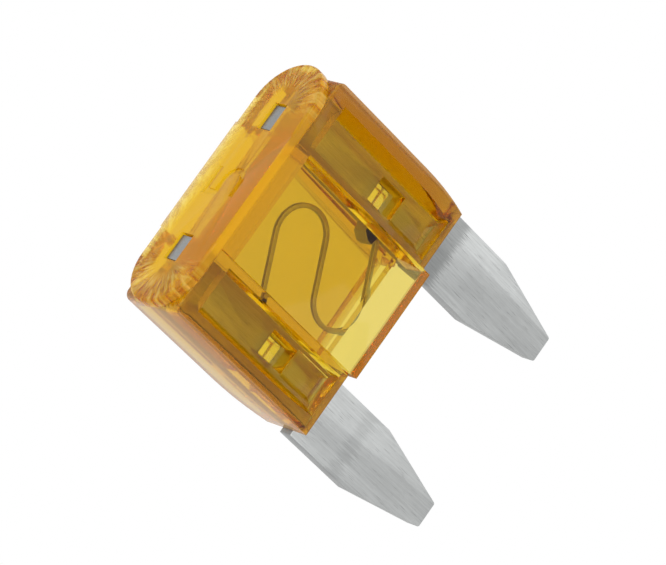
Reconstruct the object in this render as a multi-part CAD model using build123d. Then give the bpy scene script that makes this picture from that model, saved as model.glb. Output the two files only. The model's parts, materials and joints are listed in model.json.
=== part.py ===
from build123d import *
import os

# Miniature plug-in blade fuse lying on its back.
# X runs across the two blades, Y from the head (negative) to the blade tips, Z up through the thickness.
# Lengths down the fuse are given as depths, measured from the head's outer face.

# ---------------------------------------------------------------- driving dimensions (mm)
overall_length = 16.3        # head face to blade tips
housing_height = 8.73        # head face to the housing's open end

head_length = 11.08          # over both rounded ends of the head
head_thickness = 3.7
head_cap = 0.42              # rounded cap above the square shoulders
head_edge_round = 0.12

body_width = 10.8            # over the outer ends of the two columns
column_thickness = 3.44
column_mouth_thickness = 2.6   # columns at the open end, after the inward bow
mouth_bow_length = 2.9         # length over which a column's faces bow inward
mouth_bow_side = 0.14          # how far a column's end bows inward at the open end
shoulder_round = 0.3

window_width = 4.94          # recess between the columns, at the outer face
window_top = 1.15            # depth at which the recess starts
window_floor = 0.9           # recess floor, from the mid plane
window_draft = 8.0           # degrees
lip_length = 0.98            # flared lip, back from the open end
lip_land = 0.06              # flat land at the lip's outer edge
lip_wall = 0.4               # wall of the flared lip

panel_inner = 2.77           # column panel, nearer and farther edges from the centre line
panel_outer = 4.78
panel_top = 1.25
panel_floor = 1.05           # panel floor, from the mid plane
panel_inner_slope = 0.06     # how much each side leans in toward the floor
panel_outer_slope = 0.38
panel_lip = 0.5              # rim across the panel at the open end

tray_inset = 0.15            # lower tray, inside the panel floor
tray_top = 6.35
tray_sink = 0.2
tray_taper = 45.0            # degrees
stake_centre = 3.63          # stake dimple, from the centre line
stake_depth = 5.62
stake_width = 1.1
stake_length = 1.4
stake_sink = 0.5
stake_taper = 17.0           # degrees
stake_hole = 0.9             # square hole in the blade behind each dimple

skin = 0.5                   # head skin over the inner cavity
fit = 0.05                   # clearance around the element
probe_centre = 3.05          # test-probe slots in the head
probe_length = 1.1
probe_sink = 0.08            # how far the metal lies below the head face

blade_spacing = 8.05         # centre to centre
blade_width = 2.86
blade_thickness = 0.7
blade_tip_width = 1.13
taper_length = 3.8           # straight tapered nose of each blade
tip_round = 0.1
shank_width = 2.2            # blade inside the housing, centred nearer the middle
shank_top = 0.95
shoulder_gap = 0.06          # blade shoulders stop just outside the housing

link_width = 0.2
link_thickness = 0.2
link_radius = 1.2
link_lean = 28.0             # degrees, lean of the straight runs
link_bend = (-0.46, 3.98)    # centre of the bend nearer the head, as sideways place and depth
link_middle_run = 2.18       # straight run between the two bends
root_lap = 0.3               # how far each of the link's two roots laps into its blade
upper_root = (3.7, 4.2)      # depths of the root nearer the head
upper_root_reach = 0.3       # out from the blade's inner edge
upper_stub = (0.25, 3.76)    # snapped-off stub of the tie bar: reach from the blade, and depth
lower_root = (5.9, 6.85)
lower_root_reach = 0.5
lower_stub = (0.3, 6.05)

numeral_depth = 0.08
numeral_stroke = 0.26
numeral_height = 1.7
numeral_width = 1.1
numeral_bowl = 0.51          # radius of the numeral's bowl

# ---------------------------------------------------------------- derived places
mid_z = head_thickness / 2
head_y = -overall_length / 2
blade_centre = blade_spacing / 2
blade_inner = blade_centre - blade_width / 2
blade_outer = blade_centre + blade_width / 2
shank_inner = blade_inner + fit
shank_outer = shank_inner + shank_width
lip_start = housing_height - lip_length
cavity_half = blade_thickness / 2   # centre cavity, whose faces lie on the link's roots


def at(x, depth, z=0.0):
    """A place given sideways, down the fuse from the head face, and from the mid plane."""
    return (x, head_y + depth, mid_z + z)


def block(x0, x1, depth0, depth1, z0, z1):
    """A box between two corners given in the fuse's own measures."""
    size = (x1 - x0, depth1 - depth0, z1 - z0)
    return Pos(*at((x0 + x1) / 2, (depth0 + depth1) / 2, (z0 + z1) / 2)) * Box(*size)


def prism_across(points, x0, x1):
    """A solid across the fuse from an outline of (depth, height from the mid plane) points."""
    outline = make_face(Polyline(*[(x0, *at(0, d, z)[1:]) for d, z in points], close=True))
    return extrude(outline, amount=x1 - x0, dir=(1, 0, 0))


def prism_along(points, depth0, depth1):
    """A solid down the fuse from an outline of (sideways, height from the mid plane) points."""
    outline = make_face(Polyline(*[at(x, depth0, z) for x, z in points], close=True))
    return extrude(outline, amount=depth1 - depth0, dir=(0, 1, 0))


def pocket(x, depth, width, length, top, floor, taper):
    """A tapered rectangular pocket sunk from one height to a lower one, both from the mid plane."""
    mouth = Plane(origin=at(x, depth, top), x_dir=(1, 0, 0), z_dir=(0, 0, -1)) * Rectangle(width, length)
    return extrude(mouth, amount=top - floor, taper=taper)


def both_faces(solid):
    """The solid together with its mirror image through the mid plane."""
    return [solid, mirror(solid, Plane(origin=at(0, 0), z_dir=(0, 0, 1)))]


def both_sides(solids):
    """The solids together with their mirror images on the other side of the centre line."""
    return [*solids, *[mirror(solid, Plane.YZ) for solid in solids]]


# ---------------------------------------------------------------- housing: outer form
def head():
    """Rounded-ended cap with a lightly broken edge."""
    face = Plane(origin=at(0, 0), x_dir=(1, 0, 0), z_dir=(0, 1, 0))
    cap = extrude(face * SlotOverall(head_length, head_thickness), amount=head_cap)
    rim = cap.edges().group_by(Axis.Y)[0]
    return fillet(rim, head_edge_round)


def column_blank():
    """Both columns as one block, with faces and ends bowing inward toward the open end."""
    half = column_thickness / 2
    mouth_half = column_mouth_thickness / 2
    bow_start = housing_height - mouth_bow_length
    fall = half - mouth_half
    bow_face_radius = (mouth_bow_length ** 2 + fall ** 2) / (2 * fall)
    bow_side_radius = (mouth_bow_length ** 2 + mouth_bow_side ** 2) / (2 * mouth_bow_side)
    side = body_width / 2

    def side_arc(sign):
        start = (0, *at(0, bow_start, sign * half)[1:])
        end = (0, *at(0, housing_height, sign * mouth_half)[1:])
        centre = (0, *at(0, bow_start, sign * (half - bow_face_radius))[1:])
        return arc_between(start, end, centre, bow_face_radius)

    def end_arc(sign):
        start = at(sign * side, bow_start)
        end = at(sign * (side - mouth_bow_side), housing_height)
        centre = at(sign * (side - bow_side_radius), bow_start)
        return arc_between(start, end, centre, bow_side_radius)

    thickness_outline = Curve() + [
        Polyline((0, *at(0, bow_start, -half)[1:]), (0, *at(0, head_cap, -half)[1:]),
                 (0, *at(0, head_cap, half)[1:]), (0, *at(0, bow_start, half)[1:])),
        side_arc(1),
        Line((0, *at(0, housing_height, mouth_half)[1:]), (0, *at(0, housing_height, -mouth_half)[1:])),
        side_arc(-1),
    ]
    width_outline = Curve() + [
        Polyline(at(-side, bow_start), at(-side, head_cap), at(side, head_cap), at(side, bow_start)),
        end_arc(1),
        Line(at(side - mouth_bow_side, housing_height), at(mouth_bow_side - side, housing_height)),
        end_arc(-1),
    ]
    slab = extrude(make_face(thickness_outline), amount=side, dir=(1, 0, 0), both=True)
    plate = extrude(make_face(width_outline), amount=head_thickness, dir=(0, 0, 1), both=True)
    blank = slab & plate
    corners = blank.edges().filter_by(Axis.Z).group_by(Axis.Y)[0]
    return fillet(corners, shoulder_round)


def arc_between(start, end, centre, radius):
    """The shallow arc of a known centre and radius that joins two points."""
    middle = (Vector(*start) + Vector(*end)) / 2
    outward = (middle - Vector(*centre)).normalized()
    return ThreePointArc(start, Vector(*centre) + outward * radius, end)


def centre_block():
    """Full-thickness block between the columns, before the window is sunk into it."""
    half = head_thickness / 2
    return block(-window_width / 2, window_width / 2, 0, housing_height, -half, half)


def window_pocket():
    """Recess in the front face between the columns, ending in a lip that flares out to full thickness."""
    half = head_thickness / 2
    length = 2 * (housing_height - window_top)
    recess = pocket(0, window_top + length / 2, window_width, length, half, window_floor, window_draft)
    lip = prism_across(
        [(lip_start, window_floor - fit), (lip_start, window_floor), (housing_height - lip_land, half),
         (housing_height, half), (housing_height, window_floor - fit)],
        -window_width / 2, window_width / 2)
    return recess - lip


def panel_pocket():
    """Recess over one blade, with a sloped outer wall, a lower tray and a stake dimple."""
    top = column_thickness / 2
    above = top + fit
    lean = panel_outer_slope / (top - panel_floor)
    trough = prism_along(
        [(panel_inner - panel_inner_slope * fit, above), (panel_outer + lean * fit, above),
         (panel_outer - panel_outer_slope, panel_floor), (panel_inner + panel_inner_slope, panel_floor)],
        panel_top, housing_height + fit)
    rim = prism_across(
        [(housing_height - panel_lip, panel_floor), (housing_height - panel_lip / 2, top),
         (housing_height + 2 * fit, top), (housing_height + 2 * fit, panel_floor)],
        panel_inner - fit, panel_outer)
    floor_inner = panel_inner + panel_inner_slope
    floor_outer = panel_outer - panel_outer_slope
    tray_length = housing_height - panel_lip - tray_top
    tray = pocket((floor_inner + floor_outer) / 2, tray_top + tray_length / 2,
                  floor_outer - floor_inner - 2 * tray_inset, tray_length,
                  panel_floor, panel_floor - tray_sink, tray_taper)
    dimple = pocket(stake_centre, stake_depth, stake_width, stake_length,
                    panel_floor, panel_floor - stake_sink, stake_taper)
    return (trough - rim) + tray + dimple


# ---------------------------------------------------------------- housing: inner cavity
def cavity():
    """Everything open inside the housing: the slot for the element, reached from the open end."""
    blade_half = blade_thickness / 2 + fit
    end = housing_height + fit
    shank = block(shank_inner - fit, shank_outer + fit, shank_top - fit, end, -blade_half, blade_half)
    probe = block(probe_centre - probe_length / 2 - fit, probe_centre + probe_length / 2 + fit,
                  -fit, shank_top, -blade_half, blade_half)
    stake = block(stake_centre - stake_hole / 2 + fit, stake_centre + stake_hole / 2 - fit,
                  stake_depth - stake_hole / 2 + fit, stake_depth + stake_hole / 2 - fit,
                  -blade_half, blade_half)
    centre = block(-shank_inner, shank_inner, skin, end, -cavity_half, cavity_half)
    return both_sides([shank - stake, probe]) + both_faces(lip_mouth()) + [centre]


def lip_mouth():
    """The cavity's flare behind the lip in the front face, which keeps the lip's wall even."""
    rise = head_thickness / 2 - window_floor
    run = lip_length - lip_land
    slope = rise / run
    drop = lip_wall * (rise ** 2 + run ** 2) ** 0.5 / run
    start = lip_start + (cavity_half - window_floor + drop) / slope
    end = housing_height + fit
    return prism_across(
        [(start, cavity_half), (end, cavity_half + (end - start) * slope), (end, 0), (start, 0)],
        -window_width / 2, window_width / 2)


def numeral():
    """A plain 5, sunk into the head face as one stroke."""
    half_w = numeral_width / 2
    half_h = numeral_height / 2
    face = Plane(origin=at(0, 0), x_dir=(-1, 0, 0), z_dir=(0, -1, 0))
    bowl = numeral_bowl
    waist = half_h - (numeral_height - 2 * bowl)
    path = Curve() + [
        Polyline((half_w, half_h), (-half_w, half_h), (-half_w, waist), (half_w - bowl, waist)),
        ThreePointArc((half_w - bowl, waist), (half_w, waist - bowl), (half_w - bowl, waist - 2 * bowl)),
        Line((half_w - bowl, waist - 2 * bowl), (-half_w, waist - 2 * bowl)),
    ]
    return extrude(face * trace(path, numeral_stroke), amount=-numeral_depth)


def housing():
    """The one-piece transparent moulding."""
    body = head() + column_blank() + centre_block()
    body -= both_faces(window_pocket())
    body -= both_sides(both_faces(panel_pocket()))
    body -= cavity()
    return body - numeral()


# ---------------------------------------------------------------- fuse element
def blade():
    """One blade: tapered nose, full-width body, and a narrower shank with a test tab inside the housing."""
    neck = housing_height + shoulder_gap
    nose = overall_length - taper_length
    tip = blade_tip_width / 2
    outline = make_face(Polyline(
        at(blade_inner, neck), at(blade_inner, nose),
        at(blade_centre - tip, overall_length), at(blade_centre + tip, overall_length),
        at(blade_outer, nose), at(blade_outer, neck),
        at(shank_outer, neck), at(shank_outer, shank_top),
        at(probe_centre + probe_length / 2, shank_top), at(probe_centre + probe_length / 2, probe_sink),
        at(probe_centre - probe_length / 2, probe_sink), at(probe_centre - probe_length / 2, shank_top),
        at(shank_inner, shank_top), at(shank_inner, neck), close=True))
    body = extrude(outline, amount=blade_thickness / 2, dir=(0, 0, 1), both=True)
    return fillet(body.edges().filter_by(Axis.Z).group_by(Axis.Y)[-1], tip_round)


def stake_opening():
    """The square hole through a blade, in which the staked plastic post stands."""
    half = stake_hole / 2
    thick = blade_thickness
    return block(stake_centre - half, stake_centre + half, stake_depth - half, stake_depth + half, -thick, thick)


def link():
    """The thin S-shaped link, a flat strip from the root on one blade to the root on the other."""
    run = Vector(1, 0, 0).rotate(Axis.Z, link_lean)
    across = run.rotate(Axis.Z, 90) * link_radius
    upper = Vector(*at(*link_bend))
    lower = upper + across * 2 + run * link_middle_run
    reach = blade_inner + root_lap
    first = upper - across
    last = lower + across
    path = Curve() + [
        Line(first + run * ((reach - first.X) / run.X), first),
        ThreePointArc(first, upper - run * link_radius, upper + across),
        Line(upper + across, lower - across),
        ThreePointArc(lower - across, lower + run * link_radius, last),
        Line(last, last - run * ((reach + last.X) / run.X)),
    ]
    return extrude(trace(path, link_width), amount=link_thickness / 2, dir=(0, 0, 1), both=True)


def root(side, span, root_reach, stub):
    """Sheared root of the link on one blade, with the snapped-off stub of the tie bar along its head side.

    side is the blade's side, and span holds the root's two depths at the blade.
    """
    near, far = span
    reach = blade_inner - root_reach
    inside = blade_inner + root_lap
    stub_reach, stub_depth = stub
    outline = make_face(Polyline(
        at(side * inside, near), at(side * (blade_inner - stub_reach), stub_depth),
        at(side * reach, (near + far) / 2), at(side * reach, far - link_width),
        at(side * inside, far), close=True))
    return extrude(outline, amount=blade_thickness / 2, dir=(0, 0, 1), both=True)


def element():
    """The stamping: two blades joined by the thin link."""
    upper = root(1, upper_root, upper_root_reach, upper_stub)
    lower = root(-1, lower_root, lower_root_reach, lower_stub)
    body = blade() + mirror(blade(), Plane.YZ) + upper + lower + link()
    return body - both_sides([stake_opening()])


# ---------------------------------------------------------------- output
os.makedirs("parts", exist_ok=True)
pieces = {"housing": housing(), "fuse_element": element()}
for name, solid in pieces.items():
    export_step(solid, f"parts/{name}.step")
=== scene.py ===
"""Looks of a miniature blade fuse: a tinted see-through housing around a stamped, tin-plated element."""

import json
import math

import bpy
from bpy.props import FloatProperty, FloatVectorProperty, PointerProperty
from mathutils import Matrix, Quaternion, Vector

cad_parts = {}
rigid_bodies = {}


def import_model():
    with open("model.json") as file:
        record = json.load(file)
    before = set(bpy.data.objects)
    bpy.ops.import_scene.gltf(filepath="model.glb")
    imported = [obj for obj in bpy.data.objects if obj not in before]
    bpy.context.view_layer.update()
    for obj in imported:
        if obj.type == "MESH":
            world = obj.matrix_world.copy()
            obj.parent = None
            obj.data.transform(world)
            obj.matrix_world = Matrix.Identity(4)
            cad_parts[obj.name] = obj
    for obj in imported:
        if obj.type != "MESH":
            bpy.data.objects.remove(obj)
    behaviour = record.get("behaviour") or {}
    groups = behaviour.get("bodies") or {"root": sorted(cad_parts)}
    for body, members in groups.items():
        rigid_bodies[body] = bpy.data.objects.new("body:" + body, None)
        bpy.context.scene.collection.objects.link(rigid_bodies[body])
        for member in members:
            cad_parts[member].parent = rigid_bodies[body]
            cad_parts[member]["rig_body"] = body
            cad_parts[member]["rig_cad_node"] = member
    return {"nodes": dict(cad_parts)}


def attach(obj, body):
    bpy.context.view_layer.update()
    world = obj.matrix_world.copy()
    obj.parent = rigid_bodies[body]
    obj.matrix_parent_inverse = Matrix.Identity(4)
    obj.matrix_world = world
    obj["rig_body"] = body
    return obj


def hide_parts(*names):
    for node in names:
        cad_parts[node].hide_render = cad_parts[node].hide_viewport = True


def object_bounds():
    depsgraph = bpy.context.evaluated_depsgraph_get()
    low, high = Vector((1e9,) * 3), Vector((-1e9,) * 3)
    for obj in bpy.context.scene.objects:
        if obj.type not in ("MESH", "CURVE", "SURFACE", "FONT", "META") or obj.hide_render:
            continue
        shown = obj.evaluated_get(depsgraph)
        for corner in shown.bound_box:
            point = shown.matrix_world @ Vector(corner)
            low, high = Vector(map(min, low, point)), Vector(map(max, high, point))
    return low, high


bl_info = {
    "name": "Blade fuse looks",
    "version": (1, 0, 0),
    "blender": (4, 5, 0),
    "location": "3D View > Sidebar > Fuse",
    "description": "Builds the finish of a miniature blade fuse around its packed model",
    "category": "Object",
}

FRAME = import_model()
CAD_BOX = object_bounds()
MM = 0.001
END_CENTRE = 3.69 * MM       # centre of each rounded end of the head, out from the middle
MID_PLANE = 1.85 * MM
COLUMN_END = 5.4 * MM        # outer end of each column, out from the middle
HEAD_FACE = -8.15 * MM
OPEN_END = 0.58 * MM         # the housing's open end


# ---------------------------------------------------------------- settings
class FuseHousingSettings(bpy.types.PropertyGroup):
    edge_radius: FloatProperty(
        name="Edge radius", description="Rounding of the moulding's edges",
        default=0.05 * MM, unit="LENGTH")
    roughness: FloatProperty(
        name="Roughness", description="Gloss of the moulded faces", default=0.03, subtype="FACTOR")
    bend: FloatProperty(
        name="Bend", description="Refractive index of the plastic", default=1.42)
    film: FloatVectorProperty(
        name="Film", description="Colour that one wall's faces let through", subtype="COLOR", size=3,
        default=(0.95, 0.86, 0.40))
    cloud: FloatProperty(
        name="Cloud", description="Share of light that the moulding scatters", default=0.10, subtype="FACTOR")
    head_cloud: FloatProperty(
        name="Head cloud", description="Share that the head scatters", default=0.46, subtype="FACTOR")
    cloud_tint: FloatVectorProperty(
        name="Cloud tint", description="Colour of the scattered light", subtype="COLOR", size=3,
        default=(0.80, 0.39, 0.012))
    end_tint: FloatVectorProperty(
        name="End tint", description="Colour that the columns' dull ends scatter", subtype="COLOR", size=3,
        default=(0.62, 0.36, 0.16))
    streak_tint: FloatVectorProperty(
        name="Streak tint", description="Colour of the flow marks on the head", subtype="COLOR", size=3,
        default=(0.60, 0.19, 0.01))
    glint_tint: FloatVectorProperty(
        name="Glint tint", description="Colour of the bright flecks between the flow marks", subtype="COLOR", size=3,
        default=(0.98, 0.66, 0.12))
    crazing: FloatProperty(
        name="Crazing", description="Depth of the flow marks on the head's ends", default=0.07 * MM, unit="LENGTH")
    tint: FloatVectorProperty(
        name="Tint", description="Colour that the plastic's depth lets through", subtype="COLOR", size=3,
        default=(0.974, 0.88, 0.02))
    tint_density: FloatProperty(
        name="Tint density", description="How fast the tint builds up with thickness, per metre", default=2200.0)


class FuseMetalSettings(bpy.types.PropertyGroup):
    edge_radius: FloatProperty(
        name="Edge radius", description="Rounding of the sheared edges", default=0.03 * MM, unit="LENGTH")
    plate: FloatVectorProperty(
        name="Plate", description="Colour of the tin plate", subtype="COLOR", size=3, default=(0.60, 0.615, 0.61))


class FuseStageSettings(bpy.types.PropertyGroup):
    azimuth: FloatProperty(
        name="Azimuth", description="Side from which the camera looks", default=math.radians(22.78), subtype="ANGLE")
    elevation: FloatProperty(
        name="Elevation", description="Height from which the camera looks", default=math.radians(53.1),
        subtype="ANGLE")
    roll: FloatProperty(
        name="Roll", description="Turn of the camera about its own axis", default=math.radians(106.83),
        subtype="ANGLE")
    distance: FloatProperty(
        name="Distance", description="Camera to target", default=170.2 * MM, unit="LENGTH")
    focal_length: FloatProperty(
        name="Focal length", description="Lens, in millimetres on a 36 mm frame", default=243.24)
    target: FloatVectorProperty(
        name="Target", description="Point that the camera looks at", subtype="XYZ", size=3, unit="LENGTH",
        default=(-0.117 * MM, -1.571 * MM, 1.85 * MM))


# ---------------------------------------------------------------- node helpers
INPUT_NAMES = {"ior": "IOR"}


def new_material(name):
    """An empty node material and its output node."""
    material = bpy.data.materials.new(name)
    material.use_nodes = True
    tree = material.node_tree
    tree.nodes.clear()
    return material, tree, tree.nodes.new("ShaderNodeOutputMaterial")


def node(tree, kind, **values):
    """A node with some of its inputs or settings given by name."""
    made = tree.nodes.new(kind)
    for key, value in values.items():
        label = INPUT_NAMES.get(key, key.replace("_", " ").title())
        if label in made.inputs:
            made.inputs[label].default_value = value
        else:
            setattr(made, key, value)
    return made


# ---------------------------------------------------------------- materials
def amber_plastic(settings):
    """Clear tinted moulding whose colour deepens with thickness."""
    material, tree, out = new_material("amber_plastic")
    shader = node(tree, "ShaderNodeBsdfPrincipled", roughness=settings.roughness, ior=settings.bend,
                  transmission_weight=1.0)
    shader.inputs["Base Color"].default_value = (*settings.film, 1.0)
    absorb = node(tree, "ShaderNodeVolumeAbsorption", density=settings.tint_density)
    absorb.inputs["Color"].default_value = (*settings.tint, 1.0)
    marks, ridges, marked, near_head, at_end, at_mouth = flow_marks(tree, settings.crazing)
    tree.links.new(marks.outputs["Normal"], shader.inputs["Normal"])
    streaks = node(tree, "ShaderNodeValToRGB")
    streaks.color_ramp.elements[0].position = 0.38
    streaks.color_ramp.elements[0].color = (*settings.streak_tint, 1.0)
    streaks.color_ramp.elements[1].position = 0.62
    streaks.color_ramp.elements[1].color = (*settings.glint_tint, 1.0)
    middle = streaks.color_ramp.elements.new(0.5)
    middle.color = (*settings.cloud_tint, 1.0)
    tree.links.new(ridges, streaks.inputs["Fac"])
    tone = node(tree, "ShaderNodeMix", data_type="RGBA")
    tone.inputs["A"].default_value = (*settings.cloud_tint, 1.0)
    tree.links.new(marked, tone.inputs["Factor"])
    tree.links.new(streaks.outputs["Color"], tone.inputs["B"])
    through = node(tree, "ShaderNodeBsdfTranslucent")
    bounced = node(tree, "ShaderNodeBsdfDiffuse")
    ends = node(tree, "ShaderNodeMix", data_type="RGBA")
    ends.inputs["B"].default_value = (*settings.end_tint, 1.0)
    tree.links.new(at_end, ends.inputs["Factor"])
    tree.links.new(tone.outputs["Result"], ends.inputs["A"])
    tree.links.new(ends.outputs["Result"], through.inputs["Color"])
    tree.links.new(ends.outputs["Result"], bounced.inputs["Color"])
    haze = node(tree, "ShaderNodeMixShader")
    tree.links.new(math_node(tree, "MAXIMUM", near_head, at_end), haze.inputs["Fac"])
    tree.links.new(through.outputs["BSDF"], haze.inputs[1])
    tree.links.new(bounced.outputs["BSDF"], haze.inputs[2])
    dull = math_node(tree, "MAXIMUM", math_node(tree, "MAXIMUM", near_head, at_end), at_mouth)
    share = ranged(tree, dull, 0.0, 1.0, settings.cloud, settings.head_cloud)
    blend = node(tree, "ShaderNodeMixShader")
    tree.links.new(share, blend.inputs["Fac"])
    tree.links.new(shader.outputs["BSDF"], blend.inputs[1])
    tree.links.new(haze.outputs["Shader"], blend.inputs[2])
    tree.links.new(blend.outputs["Shader"], out.inputs["Surface"])
    tree.links.new(absorb.outputs["Volume"], out.inputs["Volume"])
    return material


def math_node(tree, operation, *values):
    """A maths node fed by sockets or plain numbers."""
    made = tree.nodes.new("ShaderNodeMath")
    made.operation = operation
    for socket, value in zip(made.inputs, values):
        if isinstance(value, bpy.types.NodeSocket):
            tree.links.new(value, socket)
        else:
            socket.default_value = value
    return made.outputs[0]


def flow_marks(tree, depth):
    """Fine ridges that fan out around the head's two rounded ends and along its back edge."""
    place = node(tree, "ShaderNodeTexCoord")
    apart = node(tree, "ShaderNodeSeparateXYZ")
    tree.links.new(place.outputs["Object"], apart.inputs["Vector"])
    x, y, z = apart.outputs
    out = math_node(tree, "SUBTRACT", math_node(tree, "ABSOLUTE", x), END_CENTRE)
    up = math_node(tree, "SUBTRACT", z, MID_PLANE)
    angle = math_node(tree, "ARCTAN2", up, out)
    reach = math_node(tree, "SQRT", math_node(tree, "ADD", math_node(tree, "MULTIPLY", out, out),
                                              math_node(tree, "MULTIPLY", up, up)))
    fan = node(tree, "ShaderNodeCombineXYZ")
    tree.links.new(math_node(tree, "MULTIPLY", angle, 9.0), fan.inputs["X"])
    tree.links.new(math_node(tree, "MULTIPLY", reach, 1500.0), fan.inputs["Y"])
    tree.links.new(math_node(tree, "MULTIPLY", math_node(tree, "SIGN", x), 5.0), fan.inputs["Z"])
    ridges = node(tree, "ShaderNodeTexNoise", detail=3.0, roughness=0.6)
    ridges.inputs["Scale"].default_value = 1.0
    tree.links.new(fan.outputs["Vector"], ridges.inputs["Vector"])
    rim = node(tree, "ShaderNodeMapRange", from_min=0.55 * MM, from_max=1.0 * MM)
    tree.links.new(reach, rim.inputs["Value"])
    beyond = node(tree, "ShaderNodeMapRange", from_min=-0.5 * MM, from_max=0.3 * MM)
    tree.links.new(out, beyond.inputs["Value"])
    back = node(tree, "ShaderNodeMapRange", from_min=-1.0 * MM, from_max=-1.5 * MM)
    tree.links.new(up, back.inputs["Value"])
    near_head = node(tree, "ShaderNodeMapRange", from_min=HEAD_FACE + 0.6 * MM, from_max=HEAD_FACE + 0.35 * MM)
    tree.links.new(y, near_head.inputs["Value"])
    ends = math_node(tree, "MULTIPLY", rim.outputs["Result"], beyond.outputs["Result"])
    where = math_node(tree, "MULTIPLY", math_node(tree, "MAXIMUM", ends, back.outputs["Result"]),
                      near_head.outputs["Result"])
    speckle = node(tree, "ShaderNodeTexNoise", detail=2.0)
    speckle.inputs["Scale"].default_value = 350.0
    tree.links.new(place.outputs["Object"], speckle.inputs["Vector"])
    waves = math_node(tree, "MULTIPLY", speckle.outputs["Fac"], 0.12)
    height = math_node(tree, "ADD", math_node(tree, "MULTIPLY", ridges.outputs["Fac"], where), waves)
    marks = node(tree, "ShaderNodeBump", strength=1.0, distance=depth)
    tree.links.new(height, marks.inputs["Height"])
    past_panels = ranged(tree, math_node(tree, "ABSOLUTE", x), COLUMN_END - 0.2 * MM, COLUMN_END - 0.1 * MM, 0.0, 1.0)
    not_head = ranged(tree, near_head.outputs["Result"], 0.0, 1.0, 1.0, 0.0)
    return (marks, ridges.outputs["Fac"], where, near_head.outputs["Result"],
            math_node(tree, "MULTIPLY", past_panels, not_head),
            ranged(tree, y, OPEN_END - 0.06 * MM, OPEN_END - 0.02 * MM, 0.0, 1.0))


def tin_plate(settings):
    """Dull plated strip: fine lengthwise lines, deeper scratches, painted shade on the sideways-facing sheared edges
    and two rubbed bands.
    """
    material, tree, out = new_material("tin_plate")
    place = node(tree, "ShaderNodeTexCoord")
    apart = node(tree, "ShaderNodeSeparateXYZ")
    tree.links.new(place.outputs["Object"], apart.inputs["Vector"])
    lines = stretched_noise(tree, place, (14000.0, 420.0, 14000.0), 4.0)
    scratches = stretched_noise(tree, place, (30000.0, 1100.0, 30000.0), 2.0)
    blotches = stretched_noise(tree, place, (700.0, 500.0, 700.0), 3.0)
    tone = ranged(tree, lines, 0.32, 0.68, 0.88, 1.07)
    scratch = ranged(tree, scratches, 0.30, 0.40, 0.70, 1.0)
    cloud = ranged(tree, blotches, 0.3, 0.7, 0.93, 1.05)
    worn = math_node(tree, "MULTIPLY", math_node(tree, "MULTIPLY", tone, scratch), cloud)
    shape = node(tree, "ShaderNodeNewGeometry")
    facing = node(tree, "ShaderNodeSeparateXYZ")
    tree.links.new(shape.outputs["True Normal"], facing.inputs["Vector"])
    # Painted shade: faces that turn sideways, such as the sheared edges, are darkened to 0.58 of the plate colour, as
    # if turned away from the light.
    painted_side_shade = ranged(tree, math_node(tree, "ABSOLUTE", facing.outputs["Z"]), 0.2, 0.9, 0.58, 1.0)
    rubbed = band(tree, apart, lines, 1, 3.3 * MM, 0.2 * MM, 0.9)
    smeared = band(tree, apart, scratches, -1, 1.25 * MM, 0.55 * MM, 0.62)
    shade = math_node(tree, "MULTIPLY", math_node(tree, "MULTIPLY", worn, painted_side_shade),
                      math_node(tree, "MULTIPLY", rubbed, smeared))
    paint = node(tree, "ShaderNodeMix", data_type="RGBA", blend_type="MULTIPLY")
    paint.inputs["Factor"].default_value = 1.0
    paint.inputs["A"].default_value = (*settings.plate, 1.0)
    shader = node(tree, "ShaderNodeBsdfPrincipled", metallic=1.0, roughness=0.38)
    bump = node(tree, "ShaderNodeBump", strength=0.35, distance=0.01 * MM)
    tree.links.new(shade, paint.inputs["B"])
    tree.links.new(paint.outputs["Result"], shader.inputs["Base Color"])
    tree.links.new(math_node(tree, "MULTIPLY", tone, scratch), bump.inputs["Height"])
    tree.links.new(bump.outputs["Normal"], shader.inputs["Normal"])
    tree.links.new(shader.outputs["BSDF"], out.inputs["Surface"])
    return material


def stretched_noise(tree, place, scale, detail):
    """Noise drawn out along the blades."""
    stretch = node(tree, "ShaderNodeMapping")
    stretch.inputs["Scale"].default_value = scale
    noise = node(tree, "ShaderNodeTexNoise", detail=detail, roughness=0.6)
    noise.inputs["Scale"].default_value = 1.0
    tree.links.new(place.outputs["Object"], stretch.inputs["Vector"])
    tree.links.new(stretch.outputs["Vector"], noise.inputs["Vector"])
    return noise.outputs["Fac"]


def ranged(tree, value, low, high, at_low, at_high):
    """A value carried from one range to another."""
    made = node(tree, "ShaderNodeMapRange", from_min=low, from_max=high, to_min=at_low, to_max=at_high)
    tree.links.new(value, made.inputs["Value"])
    return made.outputs["Result"]


def band(tree, apart, noise, side, middle, half_width, shade):
    """A darker band across one blade, with an edge frayed by noise; 1 elsewhere."""
    off = math_node(tree, "ABSOLUTE", math_node(tree, "SUBTRACT", apart.outputs["Y"], middle))
    fray = math_node(tree, "MULTIPLY", math_node(tree, "SUBTRACT", noise, 0.5), 1.2 * MM)
    near = ranged(tree, math_node(tree, "ADD", off, fray), half_width, half_width + 0.3 * MM, 1.0, 0.0)
    right_side = ranged(tree, math_node(tree, "MULTIPLY", apart.outputs["X"], side), 0.0, 0.1 * MM, 0.0, 1.0)
    return ranged(tree, math_node(tree, "MULTIPLY", near, right_side), 0.0, 1.0, 1.0, shade)


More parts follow.
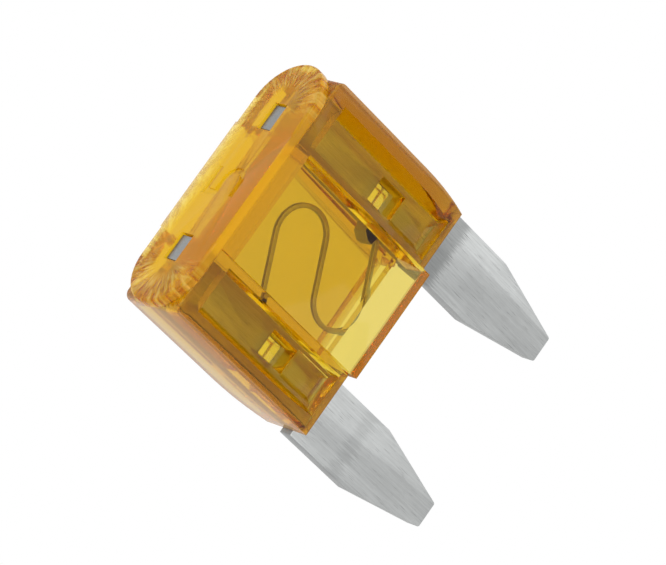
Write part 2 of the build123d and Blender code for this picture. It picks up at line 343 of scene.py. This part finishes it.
def paper_white():
    """Stage surface: a shaded floor to lamps, and plain white to the camera and through the plastic."""
    material, tree, out = new_material("paper_white")
    path = node(tree, "ShaderNodeLightPath")
    lit = node(tree, "ShaderNodeBsdfDiffuse")
    lit.inputs["Color"].default_value = (0.85, 0.85, 0.85, 1.0)
    glow = node(tree, "ShaderNodeEmission", strength=1.0)
    camera_or_glossy = node(tree, "ShaderNodeMath", operation="MAXIMUM")
    seen = node(tree, "ShaderNodeMath", operation="MAXIMUM")
    mix = node(tree, "ShaderNodeMixShader")
    tree.links.new(path.outputs["Is Camera Ray"], camera_or_glossy.inputs[0])
    tree.links.new(path.outputs["Is Glossy Ray"], camera_or_glossy.inputs[1])
    tree.links.new(camera_or_glossy.outputs[0], seen.inputs[0])
    tree.links.new(path.outputs["Is Transmission Ray"], seen.inputs[1])
    tree.links.new(seen.outputs[0], mix.inputs["Fac"])
    tree.links.new(lit.outputs["BSDF"], mix.inputs[1])
    tree.links.new(glow.outputs["Emission"], mix.inputs[2])
    tree.links.new(mix.outputs["Shader"], out.inputs["Surface"])
    return material


# ---------------------------------------------------------------- mesh helpers
def pick(target):
    """Selects one object alone and makes it active."""
    bpy.ops.object.select_all(action="DESELECT")
    target.select_set(True)
    bpy.context.view_layer.objects.active = target


def finished_copy(source, name, edge_radius, held_back):
    """A merged copy of a CAD node's mesh, its flat faces joined and its edges rounded.

    held_back keeps the rounding narrower than the shortest facet beside it.
    """
    pick(source)
    bpy.ops.object.duplicate()
    piece = bpy.context.view_layer.objects.active
    piece.name = name
    piece.parent = None
    piece.matrix_world = Matrix.Identity(4)
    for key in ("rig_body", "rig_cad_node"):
        if key in piece:
            del piece[key]
    pick(piece)
    bpy.ops.object.mode_set(mode="EDIT")
    bpy.ops.mesh.select_all(action="SELECT")
    bpy.ops.mesh.remove_doubles(threshold=0.0005 * MM)
    bpy.ops.mesh.dissolve_limited(angle_limit=math.radians(0.5))
    bpy.ops.object.mode_set(mode="OBJECT")
    rounding = piece.modifiers.new("edge_rounding", "BEVEL")
    rounding.width = edge_radius
    rounding.segments = 2
    rounding.limit_method = "ANGLE"
    rounding.angle_limit = math.radians(28.0)
    rounding.use_clamp_overlap = held_back
    rounding.harden_normals = False
    bpy.ops.object.modifier_apply(modifier=rounding.name)
    bpy.ops.object.mode_set(mode="EDIT")
    bpy.ops.mesh.select_all(action="SELECT")
    bpy.ops.mesh.remove_doubles(threshold=0.002 * MM)
    bpy.ops.mesh.dissolve_degenerate(threshold=0.0005 * MM)
    bpy.ops.object.mode_set(mode="OBJECT")
    bpy.ops.object.shade_smooth_by_angle(angle=math.radians(32.0))
    return piece


def dress(piece, material, replaced):
    """Gives a finished piece its material and body, and hides the CAD node it stands for."""
    piece.data.materials.clear()
    piece.data.materials.append(material)
    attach(piece, "root")
    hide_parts(replaced)


# ---------------------------------------------------------------- operators
class FUSE_OT_housing(bpy.types.Operator):
    """Builds the amber moulding"""

    bl_idname = "fuse.housing"
    bl_label = "Build housing"

    def execute(self, context):
        settings = context.scene.fuse_housing
        piece = finished_copy(FRAME["nodes"]["housing"], "amber_housing", settings.edge_radius, True)
        dress(piece, amber_plastic(settings), "housing")
        return {"FINISHED"}


class FUSE_OT_element(bpy.types.Operator):
    """Builds the stamped element"""

    bl_idname = "fuse.element"
    bl_label = "Build element"

    def execute(self, context):
        settings = context.scene.fuse_metal
        piece = finished_copy(FRAME["nodes"]["fuse_element"], "stamped_element", settings.edge_radius, False)
        dress(piece, tin_plate(settings), "fuse_element")
        return {"FINISHED"}


class FUSE_OT_stage(bpy.types.Operator):
    """Adds the floor, the lamps and the camera"""

    bl_idname = "fuse.stage"
    bl_label = "Build stage"

    def execute(self, context):
        add_floor()
        add_lamps()
        add_camera(context.scene.fuse_stage)
        context.scene.view_settings.view_transform = "Standard"
        allow_deep_light()
        return {"FINISHED"}


class FUSE_PT_panel(bpy.types.Panel):
    """Lists the steps that build the fuse"""

    bl_label = "Blade fuse"
    bl_idname = "FUSE_PT_panel"
    bl_space_type = "VIEW_3D"
    bl_region_type = "UI"
    bl_category = "Fuse"

    def draw(self, context):
        for step in OPERATORS:
            self.layout.operator(step.bl_idname)


# ---------------------------------------------------------------- stage
def add_floor():
    """A wide pale floor that the fuse lies on."""
    bpy.ops.object.select_all(action="DESELECT")
    bpy.ops.mesh.primitive_plane_add(size=4.0, location=(0.0, 0.0, 0.0))
    floor = bpy.context.view_layer.objects.active
    floor.name = "floor"
    floor.data.materials.append(paper_white())


def add_lamp(name, place, size, power, aim):
    """A square soft lamp that points at the fuse."""
    light = bpy.data.lights.new(name, "AREA")
    light.shape = "SQUARE"
    light.size = size
    light.energy = power
    lamp = bpy.data.objects.new(name, light)
    lamp.location = place
    lamp.rotation_mode = "QUATERNION"
    lamp.rotation_quaternion = (Vector(place) - aim).to_track_quat("Z", "Y")
    bpy.context.scene.collection.objects.link(lamp)


def add_lamps():
    """A broad key lamp over the head end, a weaker fill, and an even pale surround."""
    aim = (Vector(CAD_BOX[0]) + Vector(CAD_BOX[1])) / 2
    add_lamp("key_lamp", (0.05, -0.10, 0.18), 0.30, 0.24, aim)
    add_lamp("fill_lamp", (-0.15, 0.02, 0.12), 0.25, 0.10, aim)
    world = bpy.data.worlds.new("surround")
    world.use_nodes = True
    world.node_tree.nodes["Background"].inputs["Color"].default_value = (1.0, 1.0, 1.0, 1.0)
    world.node_tree.nodes["Background"].inputs["Strength"].default_value = 0.7
    bpy.context.scene.world = world


def allow_deep_light():
    """Lets light cross the many walls of the moulding before it is given up."""
    cycles = bpy.context.scene.cycles
    cycles.max_bounces = 40
    cycles.transmission_bounces = 40
    cycles.glossy_bounces = 24
    cycles.transparent_max_bounces = 24


def add_camera(settings):
    """A long lens that looks down on the front face from the head's end, turned about its own axis."""
    level = math.cos(settings.elevation)
    toward = Vector((math.sin(settings.azimuth) * level, -math.cos(settings.azimuth) * level,
                     math.sin(settings.elevation)))
    data = bpy.data.cameras.new("camera")
    data.sensor_width = 36.0
    data.lens = settings.focal_length
    data.clip_start = 0.005
    data.clip_end = 10.0
    camera = bpy.data.objects.new("camera", data)
    camera.location = Vector(settings.target) + toward * settings.distance
    camera.rotation_mode = "QUATERNION"
    camera.rotation_quaternion = toward.to_track_quat("Z", "Y") @ Quaternion((0, 0, 1), settings.roll)
    bpy.context.scene.collection.objects.link(camera)
    bpy.context.scene.camera = camera


# ---------------------------------------------------------------- registration
SETTINGS = {
    "fuse_housing": FuseHousingSettings,
    "fuse_metal": FuseMetalSettings,
    "fuse_stage": FuseStageSettings,
}
OPERATORS = (FUSE_OT_housing, FUSE_OT_element, FUSE_OT_stage)


def register():
    for name, group in SETTINGS.items():
        bpy.utils.register_class(group)
        setattr(bpy.types.Scene, name, PointerProperty(type=group))
    for made in (*OPERATORS, FUSE_PT_panel):
        bpy.utils.register_class(made)


def unregister():
    for made in reversed((*OPERATORS, FUSE_PT_panel)):
        bpy.utils.unregister_class(made)
    for name, group in SETTINGS.items():
        delattr(bpy.types.Scene, name)
        bpy.utils.unregister_class(group)


def main():
    register()
    bpy.ops.fuse.housing()
    bpy.ops.fuse.element()
    bpy.ops.fuse.stage()


if __name__ == "__main__":
    main()
